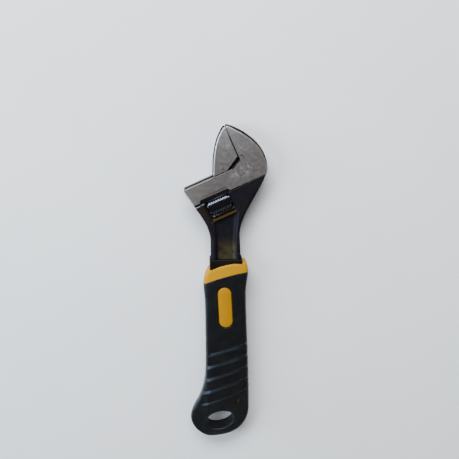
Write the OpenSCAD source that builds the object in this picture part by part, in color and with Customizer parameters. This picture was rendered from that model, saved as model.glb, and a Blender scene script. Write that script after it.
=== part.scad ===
// Adjustable wrench with a worm-driven jaw and a two-colour moulded grip.
// It lies flat: +Y points from the tail to the jaws and +Z is up. The drawing frame has X = 0 on the
// handle's centre line, Y = 0 where the neck leaves the head, and Z = 0 on the middle plane.
// The head frame is that frame turned by jaw_angle: u runs along the jaw slide and v across it.

/* [Head] */
// Angle between the jaw slide and a line square to the handle
jaw_angle = 23.5; // [22:0.5:25]
// Thickness over the ground faces of the head and jaws
head_thk = 12; // [12:0.5:13]
// Height of the slide edge above the drawing origin
slide_v = 33.3; // [33.3:0.1:33.8]
// Thickness of the neck over its flanges
neck_thk = 9.6; // [9:0.2:10]
// Width of the neck
neck_w = 18.6; // [18:0.2:19.2]
// Thickness of the web between the neck's flanges
web_thk = 5.2; // [4:0.2:6]

/* [Movable jaw] */
// Travel of the jaw from closed to fully open
jaw_travel = 24; // [18:1:24]
// Diameter of the round guide rod under the jaw
rod_d = 9.2; // [9:0.1:9.3]
// Running clearance on the radius of the rod
rod_gap = 0.05; // [0.04:0.01:0.1]
// Thickness of the neck that joins the jaw to its rod
jaw_web = 4.9; // [4:0.1:5.2]

/* [Worm] */
// Outside diameter of the worm
worm_d = 12; // [11.8:0.1:12]
// Length of the worm
worm_len = 15; // [14.4:0.1:15]
// Advance of the thread in one turn
worm_lead = 1.5; // [1.5:0.05:1.6]
// Depth of the thread
thread_depth = 1; // [0.9:0.05:1]
// Diameter of the pin that the worm turns on
pin_d = 3.2; // [3:0.1:3.4]
// Outside diameter of the small spring beside the pin
spring_d = 5.1; // [5:0.1:5.2]

/* [Grip] */
// Greatest thickness of the grip
grip_thk = 15.6; // [15.2:0.2:16.4]
// Width of the raised inlay on each side
inlay_w = 8.2; // [7.6:0.2:8.8]
// Depth of the diagonal finger grooves
groove_depth = 0.9; // [0.5:0.1:1]
// Number of diagonal finger grooves on each side
groove_count = 5; // [3:1:5]
// Length of the hanging hole
hole_l = 18.6; // [16:0.2:19]
// Width of the hanging hole
hole_w = 12.4; // [10:0.2:13]

/* [Hidden] */
$fn = 64;

far = 60;           // longer than any half of the part
eps = 0.01;         // overshoot of a cut
slide_gap = 0.1;    // play between the jaw and the head's flat faces

// Head frame sizes
face_u = 25.1;        // contact face of the fixed jaw
head_left_u = -13.2;
tip_v = slide_v + 24.8;
land_v = 22.7;      // lower edge of the ground face
rod_v = 26.3;       // axis of the guide rod
worm_v = 16.5;      // axis of the worm
worm_u0 = -4.05;    // left end of the worm
worm_u1 = worm_u0 + worm_len;
rod_u0 = -8;        // ends of the rod with the jaw closed: its right end stays over the worm at full travel
rod_u1 = jaw_travel + 0.6;
bore_end_u = 25.3;
pin_u0 = -9.2;
pin_u1 = 16;
pin_head_r = 2.45;
slot_w = 0.8;       // screwdriver slot in the pin's head
slot_depth = 0.9;
window_v0 = 9;
window_v1 = 20.8;
flank_thk = head_thk - 1.4;

// Worm sizes
worm_r = worm_d / 2;
root_r = worm_r - thread_depth;
end_band = 0.8;     // plain length at each end, clear of the rack's teeth
crest_w = 0.42 * worm_lead;
flank_w = 0.1 * worm_lead;
// The crest that passes nearest the worm's left end under the rod, at its top
crest_u0 = worm_u0 + end_band + worm_lead - flank_w - crest_w / 2;
counterbore_r = 3;
counterbore_l = 4;
tooth_gap = 0.1;    // play on each side of a rack tooth
lead_angle = atan(worm_lead / (PI * (worm_d - thread_depth)));

// Handle frame sizes
mouth_y = -17.8;    // square upper end of the liner
neck_end_y = -23;   // where the neck steps down to the shank
shank_end_y = -112;
shank_w = 15;
shank_thk = 6;
liner_w = 20;       // round the neck
liner_thk = 11.6;
liner_step_y = -24.2;
sleeve_w = 17.4;    // round the shank
sleeve_thk = 8;
sleeve_end_y = -113.4;
core_w = 21.4;
core_thk = 10.4;
core_top_y = -24.6;
core_end_y = -115.6;
core_corner = 6;
collar_thk = 15;
inlay_top = grip_thk / 2 - 0.15;
inlay_gap = 0.4;
inlay_a = [-1.2, -39.4];
inlay_b = [-0.5, -57.3];
hole_c = [-4.8, -127.2];
hole_tilt = 16;
pin_mark = [6.7, -112.9];
pin_mark_r = 0.8;

// ---- points and curves ----
function turned(p, a) = [p.x * cos(a) - p.y * sin(a), p.x * sin(a) + p.y * cos(a)];
function on_head(pts) = [for (p = pts) turned(p, jaw_angle)];
function bez(c, t) =
    pow(1 - t, 3) * c[0] + 3 * pow(1 - t, 2) * t * c[1] + 3 * (1 - t) * t * t * c[2] + pow(t, 3) * c[3];
// A cubic curve without its last point, so that curves follow one another
function curve(c, n = 10) = [for (i = [0 : n - 1]) bez(c, i / n)];
function flipped(pts) = [for (i = [len(pts) - 1 : -1 : 0]) [pts[i].x, -pts[i].y]];
function mirror_pair(pts) = concat(pts, flipped(pts));
// Upper and lower edges of the collar across the handle
function collar_top(x) = -20.7 + 0.2 * x - 0.0095 * x * x;
function collar_low(x) = -28.3 + 0.27 * x - 0.0065 * x * x;

// ---- outlines ----
fixed_side = concat(
    on_head(curve([[head_left_u, slide_v - 1.4], [head_left_u, slide_v - 0.6], [head_left_u + 0.5, slide_v],
        [head_left_u + 1.2, slide_v]], 3)),
    on_head([[head_left_u + 1.2, slide_v], [18.8, slide_v], [face_u, slide_v + 3.2]]),
    on_head(curve([[face_u, tip_v - 1.2], [face_u, tip_v - 0.3], [25.4, tip_v], [26.4, tip_v]], 4)),
    on_head(curve([[26.4, tip_v], [31.6, 54], [40, 43.6], [40, 33]], 14)),
    on_head(curve([[40, 33], [40, 29], [39.4, 26], [37.6, 23.2]], 6))
);
neck_r = curve([turned([37.6, 23.2], jaw_angle), [18.9, 19], [7.9, 8.5], [neck_w / 2 - 0.5, -5]], 12);
neck_l = curve([[-neck_w / 2, -6], [-9.9, 3.5], [-16.2, 10.6], turned([-11.6, 23], jaw_angle)], 10);
body_outline = concat(
    fixed_side, neck_r,
    [[neck_w / 2 - 0.5, -5], [neck_w / 2, mouth_y], [neck_w / 2, neck_end_y], [-neck_w / 2, neck_end_y]],
    neck_l, on_head([[-11.6, 23]])
);
// Half of the head's side view, as v and z
body_side = mirror_pair([
    [-far, neck_thk / 2], [2, neck_thk / 2], [20.3, flank_thk / 2], [land_v, flank_thk / 2 + 0.4],
    [land_v, head_thk / 2], [far + slide_v, head_thk / 2]
]);
web_recess = [
    [-5.6, 6.2], [5.4, 10.9], [5.6, 8], [5, 2], [4.7, -4], [4.7, neck_end_y], [-4.7, neck_end_y], [-4.8, -2]
];
window_outline = concat(
    [[worm_u0 - slide_gap, window_v1], [worm_u1 + slide_gap, window_v1]],
    curve([[worm_u1 + slide_gap, 10.4], [worm_u1 + slide_gap, 9.4], [10.4, window_v0], [9.4, window_v0]], 4),
    curve([[-2.2, window_v0], [-3.4, window_v0 + 0.1], [-4.1, 10], [worm_u0 - slide_gap, 11.2]], 4),
    [[worm_u0 - slide_gap, 11.2]]
);
jaw_outline = concat(
    [[6.4, slide_v + slide_gap], [15.5, slide_v + slide_gap], [face_u - slide_gap, slide_v + 5.8]],
    curve([[face_u - slide_gap, tip_v - 1.4], [face_u - slide_gap, tip_v - 0.5], [24.5, tip_v - 0.2],
        [23.8, tip_v - 0.2]], 4),
    curve([[23.8, tip_v - 0.2], [16, tip_v - 4.8], [10.6, slide_v + 10.4], [6.4, slide_v + slide_gap]], 14)
);
grip_outline = concat(
    curve([[11.3, collar_top(11.3)], [12.8, -19.9], [13.5, -22.6], [13.8, -26]], 6),
    curve([[13.8, -26], [13.7, -30], [12.1, -34], [12.3, -42]], 8),
    curve([[12.3, -42], [12.6, -62], [14.4, -97], [14.3, -117]], 10),
    curve([[14.3, -117], [14.3, -131.3], [4.3, -139.9], [-10, -139.9]], 14),
    curve([[-10, -139.9], [-17.2, -139.9], [-24.1, -133.8], [-24.1, -127]], 10),
    curve([[-24.1, -127], [-24.1, -122.5], [-21.8, -118.6], [-18.9, -113.9]], 6),
    curve([[-18.9, -113.9], [-14.95, -105.8], [-13.8, -98], [-13.6, -86]], 8),
    curve([[-13.6, -86], [-13.45, -73], [-13.3, -60], [-13.4, -47]], 4),
    curve([[-13.4, -47], [-13.5, -42], [-14.1, -38.5], [-14.1, -34.5]], 5),
    curve([[-14.1, -34.5], [-13.8, -30], [-12.6, -24.8], [-9.9, collar_top(-9.9)]], 6),
    [for (x = [-9.9 : 2.65 : 11]) [x, collar_top(x)]]
);
collar_region = concat([[-far, 0], [-far, collar_low(-15)]],
    [for (x = [-15 : 2.5 : 15]) [x, collar_low(x)]], [[far, collar_low(15)], [far, 0]]);
// Half of the grip's end view, as x and z: a slim edge on the left under the hanging hole
grip_end = mirror_pair(concat(
    [[-25, 3.4]],
    curve([[-14.8, 4.4], [-14.2, 6.2], [-12.5, grip_thk / 2], [-9, grip_thk / 2]], 6),
    curve([[9.5, grip_thk / 2], [13, grip_thk / 2], [15.2, 5.6], [15.2, 2.5]], 6),
    [[15.2, 2.5]]
));
// Half of the cover's side view, as y and z
cover_side = mirror_pair(concat(
    curve([[-139.9, 2.2], [-139.9, 4.4], [-138, 5.6], [-133, 5.7]], 6),
    curve([[-133, 5.7], [-120, 5.7], [-112, grip_thk / 2], [-98, grip_thk / 2]], 8),
    curve([[-98, grip_thk / 2], [-80, grip_thk / 2], [-64, grip_thk / 2], [-46, grip_thk / 2]], 1),
    curve([[-46, grip_thk / 2], [-38, grip_thk / 2], [-32, 7.2], [-18, 7.2]], 5),
    [[-18, 7.2]]
));

// Half of the collar's side view: flat on the back up to a straight line, and lower towards its slanted end
collar_side = mirror_pair([[-60, collar_thk / 2], [-24, collar_thk / 2], [-17, collar_thk / 2 - 0.6]]);

// The part's own origin: middle of the footprint, at the lowest face
min_x = min([for (p = concat(body_outline, grip_outline)) p.x]);
max_x = max([for (p = concat(body_outline, grip_outline)) p.x]);
min_y = min([for (p = grip_outline) p.y]);
max_y = max([for (p = body_outline) p.y]);
function placed() = [-(min_x + max_x) / 2, -(min_y + max_y) / 2, grip_thk / 2];

// ---- helpers ----
module place() {
    translate(placed()) children();
}
// From u along X, v along Y to the drawing frame
module head() {
    place() rotate([0, 0, jaw_angle]) children();
}
module plate(outline, thk) {
    linear_extrude(height = thk, center = true) polygon(outline);
}
// A side view (y, z) drawn out along X, and an end view (x, z) drawn out along Y
module along_x(outline) {
    rotate([90, 0, 90]) linear_extrude(height = 4 * far, center = true) polygon(outline);
}
module along_y(outline) {
    rotate([90, 0, 0]) linear_extrude(height = 8 * far, center = true) polygon(outline);
}
// A rod along u at the height v of its axis
module rod_u(v, r, u0, u1) {
    translate([u0, v, 0]) rotate([0, 90, 0]) cylinder(r = r, h = u1 - u0);
}
module block(x0, x1, y0, y1, thk) {
    translate([x0, y0, -thk / 2]) cube([x1 - x0, y1 - y0, thk]);
}
module both_sides() {
    children();
    mirror([0, 0, 1]) children();
}
// A bar down the handle with a round or rounded end
module bar(w, thk, y_top, y_end, r) {
    difference() {
        block(-w / 2, w / 2, y_end, y_top, thk);
        for (s = [-1, 1]) {
            translate([s * (w / 2 - r), y_end + r, 0]) difference() {
                translate([s > 0 ? 0 : -r - 1, -r - 1, -thk]) cube([r + 1, r + 1, 2 * thk]);
                cylinder(r = r, h = 3 * thk, center = true);
            }
        }
    }
}
module stadium(a, b, r, h) {
    d = b - a;
    turn = atan2(d.y, d.x);
    for (p = [a, b]) translate([p.x, p.y, 0]) cylinder(r = r, h = h);
    translate([a.x, a.y, 0]) rotate([0, 0, turn]) translate([0, -r, 0]) cube([norm(d), 2 * r, h]);
}

// ---- steel parts ----
module wrench_body() {
    color([0.13, 0.12, 0.15]) difference() {
        union() {
            intersection() {
                place() plate(body_outline, 2 * far);
                head() along_x(body_side);
            }
            place() shank();
        }
        place() web_pockets();
        head() {
            plate(window_outline, 2 * far);
            rod_u(worm_v, worm_r + 0.15, worm_u0 - slide_gap, worm_u1 + slide_gap);
            rod_u(rod_v, rod_d / 2 + rod_gap, -far, bore_end_u);
            block(-far, 17.2, rod_v, far, jaw_web + 2 * slide_gap);
            rod_u(worm_v, pin_head_r + 0.05, -far, worm_u0);
            rod_u(worm_v, pin_d / 2 + 0.05, 0, pin_u1 + 0.5);
            both_sides() thumb_scoop();
        }
    }
}
// The slanted relief in the ground face above the worm
module thumb_scoop() {
    translate([-5.2, 0, 0]) rotate([90, 0, 90]) linear_extrude(height = 17)
        polygon([[25, head_thk / 2 + eps], [20.5, head_thk / 2 + eps], [20.5, 4.4], [21.4, 4.5]]);
}
module web_pockets() {
    both_sides() translate([0, 0, web_thk / 2]) linear_extrude(height = far) polygon(web_recess);
}
module shank() {
    bar(shank_w, shank_thk, neck_end_y + 1, shank_end_y, shank_w / 2 - eps);
}
module movable_jaw() {
    color([0.55, 0.54, 0.54]) head() difference() {
        union() {
            plate(jaw_outline, head_thk);
            block(7.2, 15.8, rod_v, slide_v + slide_gap + 0.5, jaw_web);
            rod_u(rod_v, rod_d / 2, rod_u0, rod_u1);
        }
        rack_grooves();
    }
}
// Grooves for the worm's thread in the lower side of the rod, square to its thread
module rack_grooves() {
    tip_clear = 0.1;     // between the worm's crests and the bottoms of the grooves
    top = worm_v + worm_r + tip_clear;
    low = rod_v - rod_d / 2 - 0.5;
    half_top = crest_w / 2 + tooth_gap;
    half_low = half_top + flank_w * (top - low) / thread_depth;
    count = floor((rod_u1 - worm_u0 - end_band) / worm_lead);
    for (i = [0 : count]) {
        u = crest_u0 + i * worm_lead;
        translate([u, top, 0]) rotate([0, lead_angle, 0]) linear_extrude(height = 2 * far, center = true)
            polygon([[-half_top, 0], [half_top, 0], [half_low, low - top], [-half_low, low - top]]);
    }
}
module worm() {
    color([0.42, 0.42, 0.45]) head() translate([0, worm_v, 0]) difference() {
        threaded_rod();
        rod_u(0, pin_d / 2 + 0.05, -far, far);
        rod_u(0, counterbore_r, -far, worm_u0 + counterbore_l);
    }
}
// One turn of the thread, as advance and radius
turn_profile = [
    [0, root_r],
    [worm_lead - crest_w - 2 * flank_w, root_r],
    [worm_lead - crest_w - flank_w, worm_r],
    [worm_lead - flank_w, worm_r]
];
end_profile = [[0, root_r - 0.5], [0.5, root_r - eps], [end_band - 0.05, root_r - eps]];
sides = 30;         // facets round the thread
thread_rows = 4 * ceil((worm_len - 2 * end_band) / worm_lead + 3);
function ring_point(u, r, j) = [u, r * cos(360 * j / sides), r * sin(360 * j / sides)];
// Point q of the winding profile at facet j, held between the two end bands
function thread_point(j, q) =
    let (
        lo = worm_u0 + end_band,
        hi = worm_u1 - end_band,
        p = turn_profile[q % 4],
        u = lo + (floor(q / 4) - 2 + j / sides) * worm_lead + p[0]
    )
    u <= lo ? ring_point(lo, root_r, j) : u >= hi ? ring_point(hi, root_r, j) : ring_point(u, p[1], j);
// The worm's outside: a plain chamfered band, the winding rows and the other band, down each facet line
function worm_line(j) = concat(
    [for (e = end_profile) ring_point(worm_u0 + e[0], e[1], j)],
    [for (q = [0 : thread_rows]) thread_point(j, q)],
    [for (k = [len(end_profile) - 1 : -1 : 0]) ring_point(worm_u1 - end_profile[k][0], end_profile[k][1], j)]
);
module threaded_rod() {
    ends = len(end_profile);
    lines = [for (j = [0 : sides - 1]) worm_line(j)];
    // The last facet meets the first one turn of the winding further on
    last = [for (k = [0 : len(lines[0]) - 1]) k < ends || k >= ends + thread_rows + 1 ? lines[0][k]
        : thread_point(0, min(thread_rows, k - ends + 4))];
    all_lines = concat(lines, [last]);
    rows = len(last);
    tris = [
        for (j = [0 : sides - 1]) for (k = [0 : rows - 2])
            let (
                a = all_lines[j][k], b = all_lines[j][k + 1],
                c = all_lines[j + 1][k + 1], d = all_lines[j + 1][k]
            )
            for (t = [[a, c, b], [a, d, c]])
                if (t[0] != t[1] && t[1] != t[2] && t[0] != t[2]) t
    ];
    caps = [
        [for (j = [sides - 1 : -1 : 0]) lines[j][0]],
        [for (j = [0 : sides - 1]) lines[j][rows - 1]]
    ];
    flat_tris = concat([for (t = tris) for (p = t) p], caps[0], caps[1]);
    n = 3 * len(tris);
    polyhedron(
        points = flat_tris,
        faces = concat(
            [for (i = [0 : len(tris) - 1]) [3 * i, 3 * i + 1, 3 * i + 2]],
            [[for (i = [0 : sides - 1]) n + i], [for (i = [0 : sides - 1]) n + sides + i]]
        )
    );
}
module worm_pin() {
    color([0.3, 0.3, 0.32]) head() difference() {
        union() {
            rod_u(worm_v, pin_head_r, pin_u0, worm_u0 - slide_gap);
            rod_u(worm_v, pin_d / 2, worm_u0 - 1, pin_u1);
        }
        translate([pin_u0 - 1, worm_v - slot_w / 2, -far]) cube([1 + slot_depth, slot_w, 2 * far]);
    }
}
module worm_spring() {
    wire_r = 0.25;
    mean_r = spring_d / 2 - wire_r;
    u0 = worm_u0 - slide_gap + wire_r;
    u1 = worm_u0 + counterbore_l - wire_r - 0.15;
    color([0.6, 0.6, 0.62]) head() translate([u0, worm_v, 0]) coil(mean_r, wire_r, u1 - u0, 4);
}
// A round wire wound about X
module coil(mean_r, wire_r, length, turns) {
    around = 8;
    per_turn = 14;
    rings = turns * per_turn;
    points = [
        for (i = [0 : rings]) for (k = [0 : around - 1])
            let (a = 360 * i / per_turn, r = mean_r + wire_r * cos(360 * k / around))
            [length * i / rings + wire_r * sin(360 * k / around), r * cos(a), r * sin(a)]
    ];
    walls = [
        for (i = [0 : rings - 1]) for (k = [0 : around - 1])
            let (a = i * around + k, b = i * around + (k + 1) % around)
            for (t = [[a, b, b + around], [a, b + around, a + around]]) t
    ];
    first = [for (k = [around - 1 : -1 : 0]) k];
    last = [for (k = [0 : around - 1]) rings * around + k];
    polyhedron(points = points, faces = concat(walls, [first, last]));
}

// ---- moulded grip ----
// The steel that the grip is moulded round
module shank_and_neck() {
    difference() {
        block(-neck_w / 2, neck_w / 2, neck_end_y, 0, neck_thk);
        web_pockets();
    }
    shank();
}
module liner_solid() {
    block(-liner_w / 2, liner_w / 2, liner_step_y, mouth_y, liner_thk);
    bar(sleeve_w, sleeve_thk, liner_step_y + 1, sleeve_end_y, sleeve_w / 2 - eps);
}
module core_sleeve() {
    bar(core_w, core_thk, core_top_y, core_end_y, core_corner);
}
module inlay(r, z0, z1) {
    both_sides() translate([0, 0, z0]) stadium(inlay_a, inlay_b, r, z1 - z0);
}
module grip_liner() {
    color([0.06, 0.06, 0.07]) place() difference() {
        liner_solid();
        shank_and_neck();
    }
}
module grip_core() {
    color([0.85, 0.62, 0.06]) place() difference() {
        union() {
            core_sleeve();
            intersection() {
                plate(grip_outline, collar_thk);
                plate(collar_region, far);
                along_y(grip_end);
                along_x(collar_side);
            }
            inlay(inlay_w / 2, core_thk / 2 - 1, inlay_top);
        }
        liner_solid();
    }
}
module grip_cover() {
    color([0.09, 0.09, 0.1]) place() difference() {
        intersection() {
            plate(grip_outline, grip_thk);
            along_y(grip_end);
            along_x(cover_side);
        }
        plate(collar_region, far);
        core_sleeve();
        inlay(inlay_w / 2 + inlay_gap, 0, far);
        hanging_hole();
        both_sides() translate([pin_mark.x, pin_mark.y, 0]) cylinder(r = pin_mark_r, h = far);
        both_sides() finger_grooves();
    }
}
module hanging_hole() {
    ring = [for (a = [0 : 10 : 350]) [hole_l / 2 * cos(a), hole_w / 2 * sin(a)]];
    translate([hole_c.x, hole_c.y, 0]) rotate([0, 0, hole_tilt]) plate(ring, far);
}
// Diagonal grooves, each with a steep upper wall and a long lower slope
module finger_grooves() {
    for (i = [0 : groove_count - 1]) {
        left = [-11, -79.5 - 8.6 * i];
        right = [10, -73.4 - 8.1 * i];
        z = grip_thk / 2 - groove_depth - 0.1 * i;
        translate([right.x, right.y, z]) rotate([0, 0, atan2(right.y - left.y, right.x - left.x)])
            rotate([90, 0, 90]) linear_extrude(height = far, center = true)
                polygon([[0, 0], [0.7, 2.5 * groove_depth], [-4, 2.5 * groove_depth]]);
    }
}

wrench_body();
movable_jaw();
worm();
worm_pin();
worm_spring();
grip_liner();
grip_core();
grip_cover();
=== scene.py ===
import math

import bpy
import bmesh
import numpy as np
from mathutils import Matrix, Vector


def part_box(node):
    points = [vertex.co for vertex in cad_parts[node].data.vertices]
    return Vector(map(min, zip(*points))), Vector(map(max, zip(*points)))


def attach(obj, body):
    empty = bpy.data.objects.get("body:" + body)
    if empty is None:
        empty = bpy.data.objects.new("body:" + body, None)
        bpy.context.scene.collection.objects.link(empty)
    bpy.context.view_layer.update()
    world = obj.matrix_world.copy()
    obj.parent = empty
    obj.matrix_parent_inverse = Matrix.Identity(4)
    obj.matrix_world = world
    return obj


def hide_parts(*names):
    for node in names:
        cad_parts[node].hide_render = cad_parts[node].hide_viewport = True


# The wrench's pieces are drawn in millimetres in the same drawing frame as the CAD part: X = 0 on the
# handle's centre line, Y = 0 where the neck leaves the head and Z = 0 on the middle plane. The head frame
# is that frame turned by JAW_ANGLE: u runs along the jaw slide and v across it. ORIGIN takes the drawing
# into the row frame.

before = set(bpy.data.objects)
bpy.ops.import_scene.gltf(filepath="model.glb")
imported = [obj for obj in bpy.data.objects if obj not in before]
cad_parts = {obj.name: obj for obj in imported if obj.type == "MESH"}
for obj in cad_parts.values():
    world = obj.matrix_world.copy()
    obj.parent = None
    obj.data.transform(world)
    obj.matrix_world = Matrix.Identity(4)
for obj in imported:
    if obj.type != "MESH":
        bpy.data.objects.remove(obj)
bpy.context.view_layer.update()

MM = 0.001
TAIL_Y = -139.9
JAW_ANGLE = math.radians(23.5)
COS, SIN = math.cos(JAW_ANGLE), math.sin(JAW_ANGLE)


def drawing_origin():
    """Where the drawing frame's origin lies in the row frame, in millimetres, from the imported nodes."""
    liner_low, liner_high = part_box("grip_liner")
    cover_low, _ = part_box("grip_cover")
    middle = (liner_low + liner_high) / 2 / MM
    return np.array([middle.x, cover_low.y / MM - TAIL_Y, middle.z])


ORIGIN = drawing_origin()

# Head, as in the CAD part
SLIDE_V = 33.3
SLIDE_GAP = 0.1           # play between the jaw and the head's flat faces
FACE_U = 25.1
JAW_FACE_U = FACE_U - SLIDE_GAP
ROOT_U, ROOT_RISE = 18.8, 3.2        # start and rise of the slanted root of the mouth
TIP_V = 58.1
LAND_V = 22.7             # lower edge of the ground face
HEAD_HALF = 6.0
NECK_HALF = 4.8
WEB_HALF = 2.6
LINER_TOP_Y = -17.8       # the liner's square mouth, where the neck leaves it
NECK_END_Y = -23.0
ROD_V, ROD_R, ROD_U0, ROD_U1 = 26.3, 4.6, -8.0, 24.6
BORE_R, BORE_END_U = 4.65, 25.3
JAW_WEB_HALF, JAW_WEB_U0, JAW_WEB_U1 = 2.45, 7.2, 15.8
JAW_SLOT_END_U = 17.2
WORM_V, WORM_R, WORM_U0, WORM_U1 = 16.5, 6.0, -4.05, 10.95
END_GAP = 0.1             # play at each end of the worm
END_BAND = 0.8            # plain length at each end of the worm
LEAD = 1.5
THREAD_DEPTH = 1.0
CREST_W, FLANK_W = 0.42 * LEAD, 0.1 * LEAD
CREST_U0 = WORM_U0 + END_BAND + LEAD - FLANK_W - CREST_W / 2
TOOTH_GAP = 0.1           # play on each side of a rack tooth
LEAD_ANGLE = math.atan(LEAD / (math.pi * (2 * WORM_R - THREAD_DEPTH)))
POCKET_R, POCKET_DEPTH = 3.0, 4.0    # the room for the spring in the worm's left end
PIN_R, PIN_HEAD_R, PIN_U0, PIN_U1 = 1.6, 2.45, -9.2, 16.0
PIN_GAP = 0.05            # play between the worm and its pin
PIN_SLOT_HALF, PIN_SLOT_DEPTH = 0.4, 0.9
WINDOW_V0, WINDOW_V1 = 9.0, 20.8
RECESS_SLOPE = 1.15       # rise of the recess walls beside the neck's web
RECESS_SCALE = 0.66       # 1 over the length of that slope, which turns heights into distances

# Grip, as in the CAD part
GRIP_HALF = 7.8
COLLAR_HALF = 7.5
CROWN = 0.008        # fall of the grip's broad faces towards their sides
INLAY_A, INLAY_B, INLAY_R, INLAY_TOP = (-1.2, -39.4), (-0.5, -57.3), 4.1, 7.65
INLAY_GAP = 0.4
GROOVE_COUNT = 5
HOLE_C, HOLE_TILT, HOLE_HALF_L, HOLE_HALF_W = (-4.8, -127.2), math.radians(16), 9.3, 6.2
PIN_MARK, PIN_MARK_R = (6.7, -112.9), 0.8
CORE_HALF_W, CORE_HALF, CORE_TOP_Y, CORE_END_Y, CORE_CORNER = 10.7, 5.2, -24.6, -115.6, 6.0
LINER_HALF_W, LINER_HALF, LINER_STEP_Y = 10.0, 5.8, -24.2
SLEEVE_HALF_W, SLEEVE_HALF, SLEEVE_END_Y, SLEEVE_CORNER = 8.7, 4.0, -113.4, 8.6
SHANK_HALF_W, SHANK_HALF, SHANK_END_Y, SHANK_CORNER = 7.5, 3.0, -112.0, 7.4


# ---- curves and outlines ----
def turned(point):
    """A point (u, v) of the head frame in the drawing frame."""
    u, v = point
    return u * COS - v * SIN, u * SIN + v * COS


def curve(a, b, c, d, steps=24):
    """A cubic curve without its last point, so that curves follow one another."""
    points = []
    for i in range(steps):
        t = i / steps
        weights = ((1 - t) ** 3, 3 * (1 - t) ** 2 * t, 3 * (1 - t) * t * t, t ** 3)
        points.append(tuple(sum(w * p[k] for w, p in zip(weights, (a, b, c, d))) for k in (0, 1)))
    return points


def mirrored(points):
    """A half outline above the second axis, closed by its mirror image below."""
    return points + [(p, -q) for p, q in reversed(points)]


def collar_top(x):
    """The collar's slanted upper edge."""
    return -20.7 + 0.2 * x - 0.0095 * x * x


def collar_low(x):
    """The seam between the collar and the cover."""
    return -28.3 + 0.27 * x - 0.0065 * x * x


HEAD_CORNER = (37.6, 23.2)      # where the fixed jaw's back meets the neck
HEAD_LEFT = (-11.6, 23.0)

# The forging before its mouth is cut: the back of the fixed jaw, both sides of the neck and the head's
# left end
FORGED = (
    [turned(p) for p in curve((26.4, TIP_V), (31.6, 54.0), (40.0, 43.6), (40.0, 33.0), 40)]
    + [turned(p) for p in curve((40.0, 33.0), (40.0, 29.0), (39.4, 26.0), HEAD_CORNER, 14)]
    + curve(turned(HEAD_CORNER), (18.9, 19.0), (7.9, 8.5), (8.8, -5.0), 40)
    + [(8.8, -5.0), (9.3, LINER_TOP_Y), (9.3, NECK_END_Y), (-9.3, NECK_END_Y)]
    + curve((-9.3, -6.0), (-9.9, 3.5), (-16.2, 10.6), turned(HEAD_LEFT), 36)
    + [turned(HEAD_LEFT), turned((-18.6, 62.0))]
)
MOUTH = [(-60.0, SLIDE_V), (ROOT_U, SLIDE_V), (FACE_U, SLIDE_V + ROOT_RISE), (FACE_U, 90.0), (-60.0, 90.0)]
WINDOW = (
    [(WORM_U0 - END_GAP, WINDOW_V1), (WORM_U1 + END_GAP, WINDOW_V1)]
    + curve((WORM_U1 + END_GAP, 10.4), (WORM_U1 + END_GAP, 9.4), (10.4, WINDOW_V0), (9.4, WINDOW_V0), 8)
    + curve((-2.2, WINDOW_V0), (-3.4, WINDOW_V0 + 0.1), (-4.1, 10.0), (WORM_U0 - END_GAP, 11.2), 10)
)
RECESS = [(-5.6, 30.0), (5.6, 30.0), (5.6, 8.0), (5.0, 2.0), (4.7, -4.0), (4.7, -40.0), (-4.7, -40.0),
          (-4.8, -2.0), (-5.6, 6.2)]
JAW_BACK = (
    curve((23.8, TIP_V - 0.2), (16.0, TIP_V - 4.8), (10.6, 43.7), (6.4, SLIDE_V + SLIDE_GAP), 40)
    + [(6.4, SLIDE_V + SLIDE_GAP), (5.6, 28.0), (70.0, 28.0), (70.0, TIP_V - 0.2)]
)
# The grip in plan, then its greatest thickness as seen from its end and from its side
GRIP = (
    curve((11.3, collar_top(11.3)), (12.8, -19.9), (13.5, -22.6), (13.8, -26.0), 12)
    + curve((13.8, -26.0), (13.7, -30.0), (12.1, -34.0), (12.3, -42.0), 16)
    + curve((12.3, -42.0), (12.6, -62.0), (14.4, -97.0), (14.3, -117.0), 30)
    + curve((14.3, -117.0), (14.3, -131.3), (4.3, TAIL_Y), (-10.0, TAIL_Y), 36)
    + curve((-10.0, TAIL_Y), (-17.2, TAIL_Y), (-24.1, -133.8), (-24.1, -127.0), 24)
    + curve((-24.1, -127.0), (-24.1, -122.5), (-21.8, -118.6), (-18.9, -113.9), 14)
    + curve((-18.9, -113.9), (-14.95, -105.8), (-13.8, -98.0), (-13.6, -86.0), 20)
    + curve((-13.6, -86.0), (-13.45, -73.0), (-13.3, -60.0), (-13.4, -47.0), 10)
    + curve((-13.4, -47.0), (-13.5, -42.0), (-14.1, -38.5), (-14.1, -34.5), 12)
    + curve((-14.1, -34.5), (-13.8, -30.0), (-12.6, -24.8), (-9.9, collar_top(-9.9)), 14)
    + [(x, collar_top(x)) for x in np.linspace(-9.9, 11.3, 24)[:-1]]
)
GRIP_END = mirrored(
    [(-27.0, 3.4)]
    + curve((-24.0, 3.5), (-18.5, 4.0), (-15.6, 4.0), (-14.3, 5.6), 16)
    + curve((-14.3, 5.6), (-13.4, 6.8), (-11.8, GRIP_HALF), (-9.0, GRIP_HALF), 16)
    + curve((9.5, GRIP_HALF), (13.0, GRIP_HALF), (15.2, 5.6), (15.2, 2.5), 16)
    + [(15.2, 2.5)]
)
GRIP_SIDE = mirrored(
    curve((TAIL_Y - 1.5, 2.2), (TAIL_Y - 1.5, 4.4), (-138.6, 5.6), (-133.0, 5.7), 14)
    + curve((-133.0, 5.7), (-120.0, 5.7), (-112.0, GRIP_HALF), (-98.0, GRIP_HALF), 20)
    + curve((-46.0, GRIP_HALF), (-38.0, GRIP_HALF), (-32.0, 7.2), (-18.0, 7.2), 12)
    + [(-10.0, 7.2)]
)


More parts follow.
